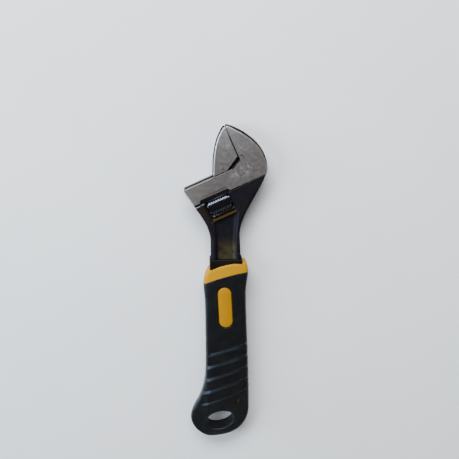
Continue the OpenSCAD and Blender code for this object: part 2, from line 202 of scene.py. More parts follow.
# ---- distances: negative inside a shape, in millimetres ----
def outline_distance(points, x, y):
    """Distance in a plane to a closed outline."""
    x, y = np.broadcast_arrays(x, y)
    nearest = np.full(x.shape, 1e9)
    inside = np.zeros(x.shape, bool)
    for (ax, ay), (bx, by) in zip(points, points[1:] + points[:1]):
        ex, ey = bx - ax, by - ay
        length = ex * ex + ey * ey
        if length == 0:
            continue
        px, py = x - ax, y - ay
        t = np.clip((px * ex + py * ey) / length, 0, 1)
        nearest = np.minimum(nearest, (px - ex * t) ** 2 + (py - ey * t) ** 2)
        if ey != 0:
            inside ^= ((ay > y) != (by > y)) & (px < ex * py / ey)
    reach = np.sqrt(nearest)
    return np.where(inside, -reach, reach)


def both(a, b, r):
    """What lies in both shapes, with its edge rounded to radius r."""
    return np.minimum(np.maximum(a, b), -r) + np.hypot(np.maximum(a + r, 0), np.maximum(b + r, 0))


def joined(a, b, r):
    """Two shapes run together, with a fillet of radius r between them."""
    return np.maximum(np.minimum(a, b), r) - np.hypot(np.maximum(r - a, 0), np.maximum(r - b, 0))


def carved(a, cut, r):
    """The first shape without the second, with the cut's edge rounded."""
    return both(a, -cut, r)


def step(value, low, high):
    """0 below low, 1 above high and a smooth rise between them."""
    t = np.clip((value - low) / (high - low), 0, 1)
    return t * t * (3 - 2 * t)


def soft_positive(value, width):
    """The value where it is positive and 0 where it is negative, with a bend about as wide as width."""
    return (value + np.sqrt(value * value + width * width)) / 2


def between(value, low, high):
    """Distance to the slab from low to high."""
    return np.abs(value - (low + high) / 2) - (high - low) / 2


def ellipse_distance(x, y, half_x, half_y):
    """About the distance to an ellipse, good near its edge."""
    near = np.hypot(x / half_x, y / half_y)
    slope = np.hypot(x / half_x ** 2, y / half_y ** 2)
    return near * (near - 1) / np.maximum(slope, 1e-6)


def bar_distance(x, y, z, half_w, half_thk, top_y, end_y, corner):
    """A bar down the handle whose lower corners are rounded in plan."""
    side = np.abs(x) - half_w + corner
    end = end_y - y + corner
    plan = np.minimum(np.maximum(side, end), 0) + np.hypot(np.maximum(side, 0), np.maximum(end, 0)) - corner
    return both(np.maximum(plan, y - top_y), np.abs(z) - half_thk, 0.4)


def inlay_plan(x, y):
    """Distance in plan from the inlay's centre line."""
    (ax, ay), (bx, by) = INLAY_A, INLAY_B
    ex, ey = bx - ax, by - ay
    t = np.clip(((x - ax) * ex + (y - ay) * ey) / (ex * ex + ey * ey), 0, 1)
    return np.hypot(x - ax - ex * t, y - ay - ey * t)


# ---- the steel pieces ----
# The height over a sloping face is scaled by the cosine of the slope, which makes it a distance.

def draft_and_parting(height, draft):
    """How far a forged side stands in from its widest line, where the dies leave a low seam."""
    seam, seam_half_width = 0.12, 0.35
    return draft * height + seam * (1 - np.exp(-(height / seam_half_width) ** 2))


def head_level(v):
    """Half the forging's thickness, which rises from the neck to the head."""
    return np.interp(v, [2.0, 20.9, LAND_V - 0.1], [NECK_HALF, 5.3, HEAD_HALF])


def recess_distance(x, y, height):
    """The sloping walls beside the web, which the liner's inside follows too."""
    walls = RECESS_SLOPE * soft_positive(outline_distance(RECESS, x, y), 0.5)
    return (height - WEB_HALF - walls) * RECESS_SCALE


def forged_blank(x, y, z, u, v):
    """The forging with its mouth, its recesses and its shank, before anything is cut through it."""
    height = np.abs(z)
    inset = 0.03        # keeps the fine curve inside the CAD part's box
    back = step(u, 26, 31) * step(v, 24, 30)
    left_end = step(u, -6, -10) * step(v, 18, 24)
    draft = 0.06 + 0.1 * back + 0.05 * left_end
    side = outline_distance(FORGED, x, y) + inset + draft_and_parting(height, draft)
    mouth = -outline_distance(MOUTH, u, v)
    plan = both(side, mouth, 1.2)
    # The rim is crisp round the mouth, softer down the head's outside and round down the neck
    outer = step(side - mouth, -1, 1) * step(v, 22.5, 24)
    edge = 0.22 + 0.23 * step(v, 23, 22) + 0.58 * outer + 1.35 * step(v, 20, 12)
    shape = both(plan, (height - head_level(v)) * 0.97, edge)
    upper_end = (height - WEB_HALF - 2.6 * soft_positive(v - 7.5, 0.3)) * RECESS_SCALE
    shape = both(shape, np.minimum(recess_distance(x, y, height), upper_end), 0.55)
    shank = bar_distance(x, y, z, SHANK_HALF_W, SHANK_HALF, NECK_END_Y + 1, SHANK_END_Y, SHANK_CORNER)
    return np.minimum(shape, shank)


def window_cut(shape, u, v, height):
    """The worm's window, with a broad chamfer down its left side and a slanted relief above it."""
    shape = carved(shape, outline_distance(WINDOW, u, v), 0.35)
    chamfer = np.maximum(WORM_U0 - 2.1 - u, between(v, 8.4, WINDOW_V1 + 0.4))
    slope = (head_level(v) - 1.9 + (WORM_U0 - u) * 0.9 - height) * 0.74
    shape = carved(shape, both(chamfer, np.maximum(slope, u - WORM_U0 - 1), 0.6), 0.35)
    relief = both((HEAD_HALF - 0.41 * (25.0 - v) - height) * 0.92, 20.3 - v, 0.4)
    left_end = -6.5 + 0.5 * (v - 22.8)
    relief = both(relief, left_end - u, 0.5)
    right_end = np.minimum(12.3 - 0.39 * (v - 22.7), 11.2 + 0.6 * (v - 20.8))
    relief = both(relief, u - right_end, 0.5)
    return carved(shape, relief, 0.3)


def forging(x, y, z):
    """The body, with room for the worm, the jaw's rod and web, and the pin."""
    u, v = x * COS + y * SIN, y * COS - x * SIN
    height = np.abs(z)
    shape = window_cut(forged_blank(x, y, z, u, v), u, v, height)
    from_worm, from_rod = np.hypot(v - WORM_V, z), np.hypot(v - ROD_V, z)
    worm_room = np.maximum(from_worm - WORM_R - 0.15, between(u, WORM_U0 - END_GAP, WORM_U1 + END_GAP))
    shape = carved(shape, worm_room, 0.1)
    bore = np.maximum(from_rod - BORE_R, u - BORE_END_U)
    shape = carved(shape, bore, 0.25)
    slot = np.maximum(np.maximum(height - JAW_WEB_HALF - SLIDE_GAP, ROD_V - v), u - JAW_SLOT_END_U)
    shape = carved(shape, slot, 0.25)
    pin_head_room = np.maximum(from_worm - PIN_HEAD_R - 0.1, u - WORM_U0)
    shape = carved(shape, pin_head_room, 0.3)
    pin_end_room = np.maximum(from_worm - PIN_R - PIN_GAP, between(u, 0, PIN_U1 + 0.5))
    return carved(shape, pin_end_room, 0.1)


def rack_grooves(u, v, z):
    """The grooves across the lower side of the rod, square to the worm's thread."""
    along = (u - CREST_U0 - z * math.tan(LEAD_ANGLE)) * math.cos(LEAD_ANGLE)
    from_groove = np.abs((along + LEAD / 2) % LEAD - LEAD / 2)
    groove_top = WORM_V + WORM_R + 0.1
    half_width = CREST_W / 2 + TOOTH_GAP + FLANK_W / THREAD_DEPTH * (groove_top - v)
    return np.maximum(np.maximum(from_groove - half_width, v - groove_top), -LEAD / 2 - along)


def sliding_jaw(u, v, z):
    """The jaw with its web, and below that the guide rod with its rack."""
    height = np.abs(z)
    side = outline_distance(JAW_BACK, u, v) + draft_and_parting(height, 0.06)
    plan = both(side, u - JAW_FACE_U, 0.9)
    above_slide = v - SLIDE_V - SLIDE_GAP
    plan = both(plan, -above_slide, 0.25)
    slant_u, slant = 15.5, 0.6        # start and slope of the jaw's lower side towards its contact face
    plan = both(plan, (slant * (u - slant_u) - above_slide) / math.hypot(slant, 1), 0.3)
    outer = step(side - (u - JAW_FACE_U), -1, 1) * step(v, 34, 36)
    shape = both(plan, height - HEAD_HALF, 0.22 + 0.58 * outer)
    web = both(height - JAW_WEB_HALF, between(u, JAW_WEB_U0, JAW_WEB_U1), 0.3)
    web = both(web, between(v, ROD_V, SLIDE_V + 0.6), 0.1)
    guide = both(np.hypot(v - ROD_V, z) - ROD_R, between(u, ROD_U0, ROD_U1), 0.5)
    guide = carved(guide, rack_grooves(u, v, z), 0.06)
    return joined(shape, np.minimum(web, guide), 0.15)


def screw_pin(u, v, z):
    """The pin that the worm turns on, with a screwdriver slot in its head."""
    across = np.hypot(v - WORM_V, z)
    head = both(across - PIN_HEAD_R, between(u, PIN_U0, WORM_U0 - END_GAP), 0.35)
    shaft = both(across - PIN_R, between(u, WORM_U0 - 1, PIN_U1), 0.3)
    slot = np.maximum(np.abs(v - WORM_V) - PIN_SLOT_HALF, u - PIN_U0 - PIN_SLOT_DEPTH)
    return carved(np.minimum(head, shaft), slot, 0.1)


# ---- the grip ----
def grip_form(x, y, z):
    """The whole grip before it is parted into collar and cover."""
    plan = outline_distance(GRIP, x, y) + 0.03 * np.abs(z)
    shape = both(plan, outline_distance(GRIP_SIDE, y, z), 1.6)
    shape = both(shape, outline_distance(GRIP_END, x, z), 1.6)
    return both(shape, np.abs(z) - GRIP_HALF + CROWN * (x - 1) ** 2, 2.5)


def sleeve_distance(x, y, z):
    """The liner's flat sleeve round the shank, from just inside its square mouth to its end."""
    return bar_distance(x, y, z, SLEEVE_HALF_W, SLEEVE_HALF, LINER_STEP_Y + 1, SLEEVE_END_Y, SLEEVE_CORNER)


def liner_hollow(x, y, z):
    """The room that the liner fills inside the core."""
    mouth = np.maximum(np.maximum(np.abs(x) - LINER_HALF_W, np.abs(z) - LINER_HALF), LINER_STEP_Y - y)
    return np.minimum(mouth, sleeve_distance(x, y, z))


def liner(x, y, z):
    """The liner, with the end of the neck and the shank cut out of it."""
    height = np.abs(z)
    mouth = both(np.abs(x) - LINER_HALF_W, height - LINER_HALF, 0.9)
    mouth = both(mouth, between(y, LINER_STEP_Y, LINER_TOP_Y), 0.45)
    neck = both(np.maximum(np.abs(x) - 9.3, NECK_END_Y - y), height - NECK_HALF, 1.4)
    neck = both(neck, recess_distance(x, y, height), 0.55)
    shank = bar_distance(x, y, z, SHANK_HALF_W, SHANK_HALF, NECK_END_Y + 1, SHANK_END_Y, SHANK_CORNER)
    return carved(np.minimum(mouth, sleeve_distance(x, y, z)), np.minimum(neck, shank), 0.2)


def core_sleeve(x, y, z):
    """The core's inner sleeve, which the cover goes over."""
    return bar_distance(x, y, z, CORE_HALF_W, CORE_HALF, CORE_TOP_Y, CORE_END_Y, CORE_CORNER)


def collar_and_inlays(x, y, z):
    """The yellow moulding: collar, inner sleeve and an inlay on each side."""
    height = np.abs(z)
    collar_top_z = COLLAR_HALF - CROWN * (x - 1) ** 2 - 0.06 * soft_positive(y + 24, 0.5)
    collar = both(grip_form(x, y, z), height - collar_top_z, 1.4)
    collar = both(collar, collar_low(x) - y, 0.3)
    dome = INLAY_TOP - 0.03 * (inlay_plan(x, y)) ** 2
    inlays = np.maximum(both(inlay_plan(x, y) - INLAY_R, height - dome, 0.5), CORE_HALF - 1 - height)
    shape = np.minimum(np.minimum(collar, inlays), core_sleeve(x, y, z))
    return np.maximum(shape, -liner_hollow(x, y, z))


def finger_grooves(x, y):
    """Depth of the diagonal grooves, each with a steep upper wall and a long lower slope."""
    upper_slope, lower_slope = 3.4, 0.6
    depth = 0.0
    for i in range(GROOVE_COUNT):
        last = i == GROOVE_COUNT - 1
        deepest = 0.85 if last else 1.25        # the last one lies where the grip is thin
        left, right = (-11.0, -79.5 - 8.6 * i), (10.0, -73.4 - 8.1 * i)
        lean = math.atan2(right[1] - left[1], right[0] - left[0])
        across = (y - right[1]) * math.cos(lean) - (x - right[0]) * math.sin(lean)
        depth = np.maximum(depth, deepest - np.maximum(upper_slope * across, -lower_slope * across))
    return depth


def cover(x, y, z):
    """The black moulding, with its finger grooves, its hanging hole and the small pin mark."""
    height = np.abs(z)
    shape = grip_form(x, y, z)
    # The grooves run shallow near both edges and round the sides
    left_start = 0.16 * (y + 80) - 12.4
    fade = (0.25 + 0.75 * step(height, 1.5, 5.0)) * (0.25 + 0.75 * step(x, left_start, left_start + 2.4))
    taper = 1 - 0.65 * step(x, 5, 10) * step(x, 12.8, 11.6)
    shape = shape + soft_positive(finger_grooves(x, y), 0.12) * fade * taper
    shape = both(shape, y - collar_low(x), 0.3)
    shape = carved(shape, inlay_plan(x, y) - INLAY_R - INLAY_GAP, 0.35)
    tilt_c, tilt_s = math.cos(HOLE_TILT), math.sin(HOLE_TILT)
    hx, hy = x - HOLE_C[0], y - HOLE_C[1]
    along, across = hx * tilt_c + hy * tilt_s, hy * tilt_c - hx * tilt_s
    shape = carved(shape, ellipse_distance(along, across, HOLE_HALF_L, HOLE_HALF_W), 0.8)
    shape = carved(shape, np.hypot(x - PIN_MARK[0], y - PIN_MARK[1]) - PIN_MARK_R, 0.15)
    return np.maximum(shape, -core_sleeve(x, y, z))


# ---- meshes ----
def lattice_net(shape, low, high, pitch):
    """Points and quads over a shape's surface: one point in each lattice cell that the surface crosses."""
    axes = [np.arange(a, b + pitch, pitch) for a, b in zip(low, high)]
    grids = (axes[0][:, None, None], axes[1][None, :, None], axes[2][None, None, :])
    field = np.broadcast_to(shape(*grids), [len(a) for a in axes])
    inside = field < 0
    count = np.zeros([n - 1 for n in inside.shape], np.int8)
    corners = [(i, j, k) for i in (0, 1) for j in (0, 1) for k in (0, 1)]
    for i, j, k in corners:
        count += inside[i:count.shape[0] + i, j:count.shape[1] + j, k:count.shape[2] + k]
    cells = np.argwhere((count > 0) & (count < 8))
    number = np.full(count.shape, -1)
    number[tuple(cells.T)] = np.arange(len(cells))
    total = np.zeros((len(cells), 3))
    crossings = np.zeros(len(cells))
    for a in corners:
        for axis in range(3):
            if a[axis] == 1:
                continue
            b = tuple(a[k] + (k == axis) for k in range(3))
            fa, fb = field[tuple((cells + a).T)], field[tuple((cells + b).T)]
            cut = (fa < 0) != (fb < 0)
            t = np.where(cut, fa / np.where(cut, fa - fb, 1), 0)
            spot = cells + a + t[:, None] * (np.arange(3) == axis)
            total += np.where(cut[:, None], spot, 0)
            crossings += cut
    points = np.array([a[0] for a in axes]) + pitch * total / crossings[:, None]
    # A quad round each lattice edge that crosses the surface, wound to face outwards
    quads = []
    for axis in range(3):
        one, two = (axis + 1) % 3, (axis + 2) % 3
        head = [slice(1, n - 1) for n in inside.shape]
        head[axis] = slice(0, inside.shape[axis] - 1)
        tail = list(head)
        tail[axis] = slice(1, inside.shape[axis])
        near, beyond = inside[tuple(head)], inside[tuple(tail)]
        base = np.argwhere(near != beyond) + [h.start for h in head]
        outward = inside[tuple(base.T)]
        ring = []
        for back_one, back_two in ((1, 1), (0, 1), (0, 0), (1, 0)):
            cell = base.copy()
            cell[:, one] -= back_one
            cell[:, two] -= back_two
            ring.append(number[tuple(cell.T)])
        ring = np.stack(ring, 1)
        ring[~outward] = ring[~outward][:, ::-1]
        quads.append(ring)
    return points, np.concatenate(quads)


def slope_at(shape, points, reach):
    """The shape's value at each point and its slope along each axis."""
    value = shape(*points.T)
    rise = np.stack([
        shape(*(points + reach * (np.arange(3) == k)).T) - shape(*(points - reach * (np.arange(3) == k)).T)
        for k in range(3)
    ], 1) / (2 * reach)
    return value, rise


def settled(shape, points, pitch):
    """The points moved onto the surface."""
    value, rise = slope_at(shape, points, 0.03)
    move = value / np.maximum((rise ** 2).sum(1), 0.05)
    return points - np.clip(move, -pitch, pitch)[:, None] * rise


def new_object(name, points, faces):
    mesh = bpy.data.meshes.new(name)
    mesh.from_pydata([tuple(p) for p in points], [], [tuple(f) for f in faces])
    mesh.validate()
    obj = bpy.data.objects.new(name, mesh)
    bpy.context.scene.collection.objects.link(obj)
    return obj


def out_of_head(points):
    """Rows of u, v and z in the head frame as rows of x, y and z in the drawing frame."""
    x, y = turned((points[:, 0], points[:, 1]))
    return np.stack([x, y, points[:, 2]], 1)


def to_row_frame(points, in_head):
    """Points in millimetres of the drawing frame, or of the head frame, in metres of the row frame."""
    if in_head:
        points = out_of_head(points)
    return (points + ORIGIN) * MM


def solid(name, shape, low, high, pitch, keep, in_head=False):
    """A piece made from its distance function, with its net thinned to the share keep."""
    pitch = pitch * 1.0
    points, quads = lattice_net(shape, low, high, pitch)
    points = settled(shape, points, pitch)
    obj = new_object(name, points, quads)
    thin = obj.modifiers.new("thin", "DECIMATE")
    thin.ratio = keep
    thin.use_collapse_triangulate = True
    depsgraph = bpy.context.evaluated_depsgraph_get()
    mesh = bpy.data.meshes.new_from_object(obj.evaluated_get(depsgraph))
    obj.modifiers.clear()
    obj.data = mesh
    at = np.zeros(len(mesh.vertices) * 3)
    mesh.vertices.foreach_get("co", at)
    at = settled(shape, at.reshape(-1, 3), 0.1)
    _, rise = slope_at(shape, at, 0.06)
    normals = rise / np.maximum(np.linalg.norm(rise, axis=1), 1e-9)[:, None]
    if in_head:
        normals = out_of_head(normals)
    mesh.vertices.foreach_set("co", to_row_frame(at, in_head).ravel())
    mesh.shade_smooth()
    mesh.normals_split_custom_set_from_vertices([tuple(n) for n in normals])
    mesh.update()
    return obj


def worm():
    """The worm, with its thread, its bore and the pocket for the spring."""
    sides = 288
    root = WORM_R - THREAD_DEPTH
    low, high = WORM_U0 + END_BAND, WORM_U1 - END_BAND
    rounding = 0.06
    # One turn of the thread, as advance and rise from root to crest, with its corners rounded
    crest_start, crest_end = LEAD - CREST_W - FLANK_W, LEAD - FLANK_W
    turn = [(0.0, 0.0), (crest_start - FLANK_W - rounding, 0.0), (crest_start - FLANK_W + 0.03, 0.12),
            (crest_start - 0.03, 0.88), (crest_start + rounding, 1.0), (crest_end - rounding, 1.0),
            (crest_end + 0.03, 0.88), (LEAD - 0.03, 0.12)]
    # The bore and the pocket for the spring, then the end face and its chamfer
    start_rings = [(WORM_U0 + POCKET_DEPTH, PIN_R + PIN_GAP), (WORM_U0 + POCKET_DEPTH, POCKET_R),
                   (WORM_U0 + 0.2, POCKET_R), (WORM_U0, POCKET_R + 0.2), (WORM_U0, root - 0.5),
                   (WORM_U0 + 0.25, root - 0.15), (WORM_U0 + 0.5, root - 0.02)]
    end_rings = [(WORM_U1 - 0.5, root - 0.02), (WORM_U1 - 0.25, root - 0.15), (WORM_U1, root - 0.5),
                 (WORM_U1, 1.9), (WORM_U1 - 0.2, PIN_R + PIN_GAP)]

    def line(column):
        """The worm's section along one side. The thread moves on by one lead in a whole turn."""
        share = column / sides
        angle = 2 * math.pi * share
        rows = list(start_rings)
        for winding in range(-2, math.ceil((high - low) / LEAD) + 1):
            for advance, rise in turn:
                u = low + (winding + share) * LEAD + advance
                inside = low < u < high
                rows.append((min(max(u, low), high), root + THREAD_DEPTH * rise * inside))
        rows += end_rings
        return [(u, WORM_V + r * math.cos(angle), r * math.sin(angle)) for u, r in rows]

    lines = [line(column) for column in range(sides + 1)]
    rows = len(lines[0])
    points = to_row_frame(np.array(lines).reshape(-1, 3), True)
    faces = [
        (i * rows + k, (i + 1) * rows + k, (i + 1) * rows + (k + 1) % rows, i * rows + (k + 1) % rows)
        for i in range(sides) for k in range(rows)
    ]
    obj = new_object("worm_screw", points, faces)
    plan = bmesh.new()
    plan.from_mesh(obj.data)
    bmesh.ops.remove_doubles(plan, verts=plan.verts, dist=1e-6)
    bmesh.ops.dissolve_degenerate(plan, dist=1e-6, edges=plan.edges)
    bmesh.ops.recalc_face_normals(plan, faces=plan.faces)
    plan.to_mesh(obj.data)
    plan.free()
    obj.data.shade_smooth()
    obj.data.set_sharp_from_angle(angle=math.radians(50))
    return obj


def spring():
    """The small coil spring in the worm's left end."""
    wire, mean, turns, sides, per_turn = 0.25, 2.3, 4, 10, 32
    start, end = WORM_U0 - END_GAP + wire, WORM_U0 + POCKET_DEPTH - 0.4
    points, faces = [], []
    rings = turns * per_turn
    for i in range(rings + 1):
        a = 2 * math.pi * i / per_turn
        for k in range(sides):
            b = 2 * math.pi * k / sides
            r = mean + wire * math.cos(b)
            u = start + (end - start) * i / rings + wire * math.sin(b)
            points.append((u, WORM_V + r * math.cos(a), r * math.sin(a)))
    for i in range(rings):
        for k in range(sides):
            a, b = i * sides + k, i * sides + (k + 1) % sides
            faces.append((a, b, b + sides, a + sides))
    faces += [tuple(reversed(range(sides))), tuple(rings * sides + k for k in range(sides))]
    obj = new_object("coil_spring", to_row_frame(np.array(points), True), faces)
    obj.data.shade_smooth()
    return obj


# ---- materials ----
# Marks on the ground faces: pale stains as u, v and reach, and rust spots as u, v, radius and colour
STAINS = [(25.6, 30.2, 6.0), (19.0, 30.3, 4.5), (29.5, 43.5, 4.5), (21.9, 47.6, 4.0)]
RUST = [(14.7, 36.4, 0.7, (0.42, 0.09, 0.04)), (13.6, 35.6, 0.8, (0.16, 0.12, 0.10)),
        (27.2, 38.4, 0.9, (0.10, 0.055, 0.045)), (28.0, 36.9, 0.8, (0.19, 0.07, 0.055))]


class Material:
    """A node material whose patterns are laid out in millimetres of the row frame."""

    def __init__(self, name, **settings):
        self.material = bpy.data.materials.new(name)
        self.material.use_nodes = True
        self.tree = self.material.node_tree
        self.surface = self.tree.nodes["Principled BSDF"]
        for socket, value in settings.items():
            self.surface.inputs[socket.replace("_", " ")].default_value = value
        place = self.tree.nodes.new("ShaderNodeTexCoord").outputs["Object"]
        self.mm = self.vector("SCALE", place, scale=1 / MM)

    def node(self, kind, inputs, **settings):
        """A node whose inputs are other nodes' outputs or plain values."""
        node = self.tree.nodes.new(kind)
        for key, value in settings.items():
            setattr(node, key, value)
        for key, value in inputs.items():
            if isinstance(value, bpy.types.NodeSocket):
                self.tree.links.new(value, node.inputs[key])
            else:
                node.inputs[key].default_value = value
        return node

    def vector(self, operation, a, b=None, scale=None):
        inputs = {0: a}
        if b is not None:
            inputs[1] = b
        if scale is not None:
            inputs["Scale"] = scale
        node = self.node("ShaderNodeVectorMath", inputs, operation=operation)
        return node.outputs["Value" if operation in ("DOT_PRODUCT", "LENGTH") else "Vector"]

    def math(self, operation, a, b=0.0):
        return self.node("ShaderNodeMath", {0: a, 1: b}, operation=operation).outputs[0]

    def axis(self, direction):
        """A coordinate along a direction of the drawing frame, in millimetres from its origin."""
        direction = Vector(direction)
        along = self.vector("DOT_PRODUCT", self.mm, tuple(direction))
        return self.math("SUBTRACT", along, direction.dot(Vector(ORIGIN)))

    def fall(self, value, low, high, a=0.0, b=1.0):
        """a below low, b above high, and a smooth change between them."""
        inputs = {"Value": value, "From Min": low, "From Max": high, "To Min": a, "To Max": b}
        return self.node("ShaderNodeMapRange", inputs, interpolation_type="SMOOTHSTEP").outputs["Result"]

    def spot(self, a, b, centre, low, high):
        """1 within low of a centre in the coordinates a and b, falling to 0 at high."""
        across, along = self.math("SUBTRACT", a, centre[0]), self.math("SUBTRACT", b, centre[1])
        squares = self.math("ADD", self.math("MULTIPLY", across, across), self.math("MULTIPLY", along, along))
        return self.fall(self.math("SQRT", squares), low, high, 1.0, 0.0)

    def near(self, value, centre, low, high):
        """1 where the value is within low of its centre, falling to 0 at high."""
        gap = self.math("ABSOLUTE", self.math("SUBTRACT", value, centre))
        return self.fall(gap, low, high, 1.0, 0.0)

    def product(self, value, *factors):
        """The value times every factor."""
        for factor in factors:
            value = self.math("MULTIPLY", value, factor)
        return value

    def noise(self, scale, detail=3.0, rough=0.5, stretch=None, twist=0.0):
        """Noise with scale features in each millimetre, stretched by its factors along the turned axes."""
        place = self.mm
        if stretch is not None:
            shrink = tuple(1 / factor for factor in stretch)
            inputs = {"Vector": place, "Rotation": (0, 0, twist), "Scale": shrink}
            place = self.node("ShaderNodeMapping", inputs, vector_type="TEXTURE").outputs[0]
        inputs = {"Vector": place, "Scale": scale, "Detail": detail, "Roughness": rough}
        return self.node("ShaderNodeTexNoise", inputs).outputs["Fac"]

    def blend(self, share, a, b):
        """Colour a where the share is 0 and colour b where it is 1."""
        a, b = (c if isinstance(c, bpy.types.NodeSocket) else (*c, 1.0) for c in (a, b))
        node = self.node("ShaderNodeMix", {"Factor": share, 6: a, 7: b}, data_type="RGBA")
        return node.outputs[2]

    def choose(self, share, a, b):
        """Number a where the share is 0 and number b where it is 1."""
        return self.node("ShaderNodeMix", {"Factor": share, 2: a, 3: b}, data_type="FLOAT").outputs[0]

    def drive(self, socket, value):
        """Links a pattern to one of the shader's own sockets."""
        self.tree.links.new(value, self.surface.inputs[socket])

    def relief(self, height, depth):
        """Bump of this depth in millimetres."""
        return self.node("ShaderNodeBump", {"Height": height, "Distance": depth * MM}).outputs[0]


def ground_colour(m, u, v):
    """Ground steel: brown-grey at the slide's left end, paler towards the jaws' tips as painted light, with
    stains and rust.
    """
    left, right = (0.41, 0.355, 0.330), (0.325, 0.282, 0.268)
    lit_upper, lit_tip = (0.375, 0.340, 0.322), (0.58, 0.56, 0.545)
    clouded, stain_pale = (0.29, 0.27, 0.26), (0.64, 0.64, 0.68)
    speck_dark, speck_pale = (0.21, 0.20, 0.195), (0.62, 0.61, 0.60)
    bright = m.blend(m.fall(u, -12.0, 4.0), left, right)
    # Painted light: the ground faces turn paler towards the jaws' tips
    bright = m.blend(m.fall(v, 32.0, 46.0), bright, lit_upper)
    bright = m.blend(m.fall(v, 46.0, 59.0), bright, lit_tip)
    bright = m.blend(m.fall(m.noise(0.11, 3.0, 0.55), 0.32, 0.68, 0.0, 0.25), bright, clouded)
    patches = m.fall(m.noise(0.55, 5.0, 0.65), 0.45, 0.6, 0.0, 0.6)
    stained = 0.0
    for stain_u, stain_v, reach in STAINS:
        stained = m.math("MAXIMUM", stained, m.spot(u, v, (stain_u, stain_v), 0.3 * reach, reach))
    bright = m.blend(m.product(stained, patches), bright, stain_pale)
    bright = m.blend(m.fall(m.noise(3.5, 3.0, 0.7), 0.52, 0.72, 0.0, 0.35), bright, speck_dark)
    bright = m.blend(m.fall(m.noise(2.4, 2.0, 0.6), 0.64, 0.74, 0.0, 0.4), bright, speck_pale)
    ragged = m.fall(m.noise(1.6, 2.0, 0.6), 0.3, 0.7, -0.35, 0.35)
    for spot_u, spot_v, radius, colour in RUST:
        spot = m.spot(m.math("ADD", u, ragged), v, (spot_u, spot_v), 0.4 * radius, radius)
        bright = m.blend(m.product(spot, 0.8), bright, colour)
    return bright


def painted_seam_shade(m, u, v, height):
    """Painted shade darkening the seams where the jaws meet, under the jaw where it slides and at the mouth's
    root.
    """
    contact = m.product(m.near(u, FACE_U - 0.05, 0.2, 0.6), m.fall(v, 45.0, 58.5, 1.0, 0.35),
                        m.fall(v, 36.3, 36.6))
    under = m.product(m.near(v, SLIDE_V + 0.15, 0.15, 0.5), m.fall(u, 5.5, 6.5),
                      m.fall(u, 18.9, 19.4, 1.0, 0.0))
    root_length = math.hypot(FACE_U - ROOT_U, ROOT_RISE)
    root_u, root_v = -ROOT_RISE / root_length, (FACE_U - ROOT_U) / root_length
    across = m.math("ADD", m.product(u, root_u), m.product(v, root_v))
    root = m.product(m.near(across, root_v * SLIDE_V + root_u * ROOT_U - 0.1, 0.2, 0.5),
                     m.fall(u, 18.4, 18.9), m.fall(u, 25.0, 25.4, 1.0, 0.0))
    seams = m.math("MAXIMUM", m.math("MAXIMUM", contact, under), root)
    at_surface = m.fall(height, HEAD_HALF - 0.9, HEAD_HALF - 0.4)
    return m.product(seams, at_surface, m.fall(m.noise(1.2, 3.0, 0.6), 0.3, 0.5, 0.5, 0.97))


def painted_sill_reflection(m, u, v):
    """1 on the lower edge and wall of the worm's window, where a brown reflection is painted."""
    return m.product(m.fall(v, 8.0, 8.5), m.fall(v, 9.8, 10.3, 1.0, 0.0), m.near(u, 3.5, 7.4, 8.2))


def painted_lip_highlight(m, u, v, height):
    """1 along the edge above the worm, where a pale painted highlight fades out to the right."""
    edge_v = m.math("ADD", m.product(u, 0.03), 20.92)
    reach = m.fall(m.math("ABSOLUTE", m.math("SUBTRACT", u, -3.0)), 7.0, 13.0, 0.9, 0.1)
    return m.product(m.near(v, edge_v, 0.16, 0.36), m.fall(height, 3.8, 4.2), reach)


def black_finish(m, u, v, height, sill):
    """Blue-black finish with pale specks, and painted brown reflections on the lower web, beside the window
    and on its sill.
    """
    blue_black, plum_black = (0.019, 0.0165, 0.0245), (0.026, 0.0215, 0.025)
    web_reflection_brown, window_side_reflection_brown = (0.094, 0.075, 0.038), (0.050, 0.033, 0.019)
    sill_reflection_deep, sill_reflection_edge = (0.10, 0.062, 0.021), (0.045, 0.028, 0.010)
    speck = (0.060, 0.060, 0.068)
    black = m.blend(m.fall(m.noise(0.12, 3.0, 0.5), 0.4, 0.65), blue_black, plum_black)
    # Painted reflection: brown on the lower web of the neck
    web_reflection = m.product(m.fall(m.axis((0, 1, 0)), -2.0, -14.0),
                      m.fall(m.noise(0.16, 3.0, 0.6), 0.35, 0.6, 0.3, 1.0),
                      m.near(m.axis((1, 0, 0)), 0.7, 4.6, 6.0))
    black = m.blend(web_reflection, black, web_reflection_brown)
    # Painted reflection: brown on the slope left of the worm's window
    window_side_reflection = m.product(m.spot(u, v, (-6.5, 14.5), 2.0, 7.5),
                        m.fall(m.noise(0.3, 3.0, 0.6), 0.3, 0.6, 0.2, 0.7))
    black = m.blend(window_side_reflection, black, window_side_reflection_brown)
    # Painted reflection: brown on the window's sill and lower wall
    sill_reflection_colour = m.blend(m.fall(height, 4.0, 4.8), sill_reflection_deep, sill_reflection_edge)
    black = m.blend(sill, black, sill_reflection_colour)
    return m.blend(m.fall(m.noise(1.6, 4.0, 0.6), 0.64, 0.74, 0.0, 0.4), black, speck)


